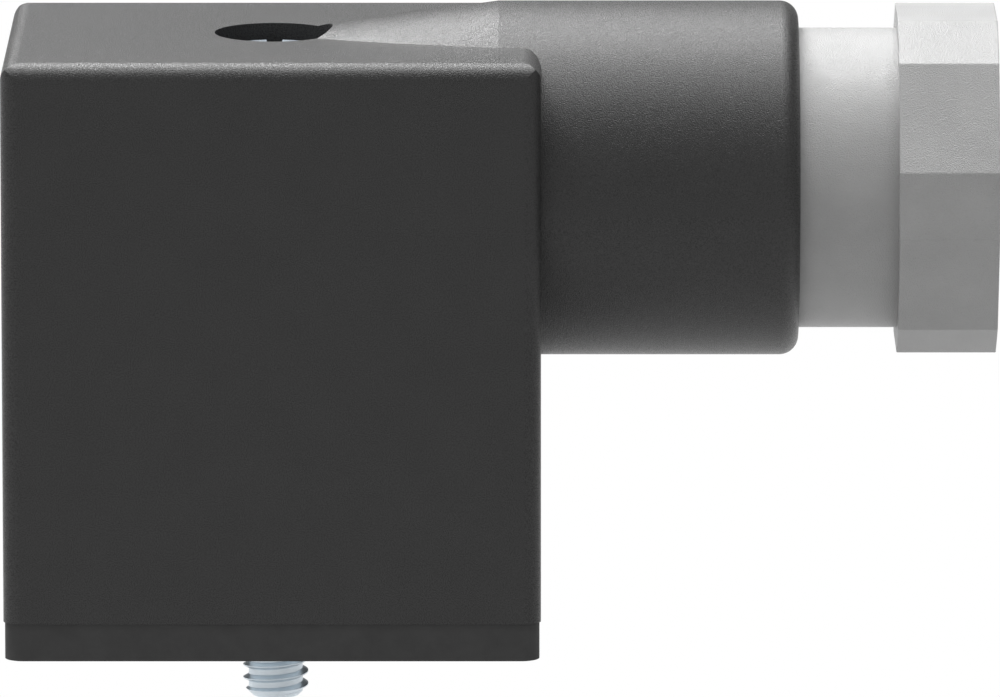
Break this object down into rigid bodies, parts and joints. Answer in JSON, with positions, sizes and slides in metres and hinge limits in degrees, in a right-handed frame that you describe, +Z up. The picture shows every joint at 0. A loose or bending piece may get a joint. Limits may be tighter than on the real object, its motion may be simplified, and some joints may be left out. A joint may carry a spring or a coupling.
{
  "type": "solenoid valve cable plug",
  "caption": "Right-angle rectangular cable plug for a solenoid valve coil, with a round cable gland barrel, a central fixing screw and a flat sealing gasket.",
  "frame": {"origin": "on the fixing screw's axis, in the plane of the gasket's sealing face", "axes": "+Z up, out of the coil along the fixing screw towards its head; +X along the cable, out of the gland; +Y across the plug, so that the plug is seen from -Y with its cable to the right"},
  "size_m": [0.0528, 0.022, 0.0376],
  "materials": {
    "black_plastic": "moulded black polyamide with a fine spark-eroded grain",
    "carrier_plastic": "moulded black glass-filled polyamide",
    "grey_plastic": "moulded light grey polyamide, satin",
    "gasket_rubber": "moulded black nitrile rubber, matt",
    "zinc_steel": "blue-white zinc plate on turned steel",
    "contact_brass": "tin-plated brass strip",
    "cage_brass": "plain brass, drawn"
  },
  "bodies": {
    "cover": {"housing": "black_plastic", "gland_back_washer": "zinc_steel", "gland_seal": "gasket_rubber"},
    "carrier": {"contact_carrier": "carrier_plastic", "profile_gasket": "gasket_rubber", "line_contact_1": "contact_brass", "line_contact_2": "contact_brass", "earth_contact": "contact_brass", "terminal_cage_1": "cage_brass", "terminal_cage_2": "cage_brass", "terminal_cage_earth": "cage_brass"},
    "fixing_seal": {"screw_seal_ring": "gasket_rubber"},
    "fixing": {"fixing_screw": "zinc_steel", "screw_retaining_ring": "zinc_steel"},
    "gland_washer": {"gland_thrust_washer": "zinc_steel"},
    "gland": {"gland_screw": "grey_plastic"},
    "clamp_1": {"clamp_plate_1": "zinc_steel"},
    "clamp_2": {"clamp_plate_2": "zinc_steel"},
    "clamp_earth": {"clamp_plate_earth": "zinc_steel"},
    "clamp_screw_1": {"terminal_screw_1": "zinc_steel"},
    "clamp_screw_2": {"terminal_screw_2": "zinc_steel"},
    "clamp_screw_earth": {"terminal_screw_earth": "zinc_steel"}
  },
  "joints": [
    {"name": "carrier_release", "type": "slide", "parent": "cover", "child": "carrier", "axis": [0, 0, -1], "range_m": [0, 0.024]},
    {"name": "fixing_screw_lift", "type": "slide", "parent": "cover", "child": "fixing_seal", "axis": [0, 0, 1], "range_m": [0, 0.0042]},
    {"name": "fixing_screw_turn", "type": "hinge", "parent": "fixing_seal", "child": "fixing", "pos_m": [0, 0, 0.0302], "axis": [0, 0, 1], "range_deg": [0, 2160]},
    {"name": "gland_travel", "type": "slide", "parent": "cover", "child": "gland_washer", "axis": [1, 0, 0], "range_m": [-0.003, 0], "deforming": ["gland_seal"]},
    {"name": "gland_turn", "type": "hinge", "parent": "gland_washer", "child": "gland", "pos_m": [0.03585, 0, 0.02415], "axis": [1, 0, 0], "range_deg": [-720, 0]},
    {"name": "clamp_1_press", "type": "slide", "parent": "carrier", "child": "clamp_1", "axis": [0, -1, 0], "range_m": [-0.0009, 0]},
    {"name": "terminal_screw_1_turn", "type": "hinge", "parent": "clamp_1", "child": "clamp_screw_1", "pos_m": [0.0046, -0.0085, 0.01305], "axis": [0, -1, 0], "range_deg": [-720, 0]},
    {"name": "clamp_2_press", "type": "slide", "parent": "carrier", "child": "clamp_2", "axis": [0, 1, 0], "range_m": [-0.0009, 0]},
    {"name": "terminal_screw_2_turn", "type": "hinge", "parent": "clamp_2", "child": "clamp_screw_2", "pos_m": [0.0046, 0.0085, 0.01305], "axis": [0, 1, 0], "range_deg": [-720, 0]},
    {"name": "clamp_earth_press", "type": "slide", "parent": "carrier", "child": "clamp_earth", "axis": [-1, 0, 0], "range_m": [-0.0009, 0]},
    {"name": "terminal_screw_earth_turn", "type": "hinge", "parent": "clamp_earth", "child": "clamp_screw_earth", "pos_m": [-0.0116, 0, 0.01305], "axis": [-1, 0, 0], "range_deg": [-720, 0]}
  ],
  "couplings": [
    {"joint": "fixing_screw_turn", "follows": "fixing_screw_lift", "rad_per_m": 8976},
    {"joint": "gland_turn", "follows": "gland_travel", "rad_per_m": 4188.8},
    {"joint": "terminal_screw_1_turn", "follows": "clamp_1_press", "rad_per_m": 13963},
    {"joint": "terminal_screw_2_turn", "follows": "clamp_2_press", "rad_per_m": 13963},
    {"joint": "terminal_screw_earth_turn", "follows": "clamp_earth_press", "rad_per_m": 13963}
  ]
}
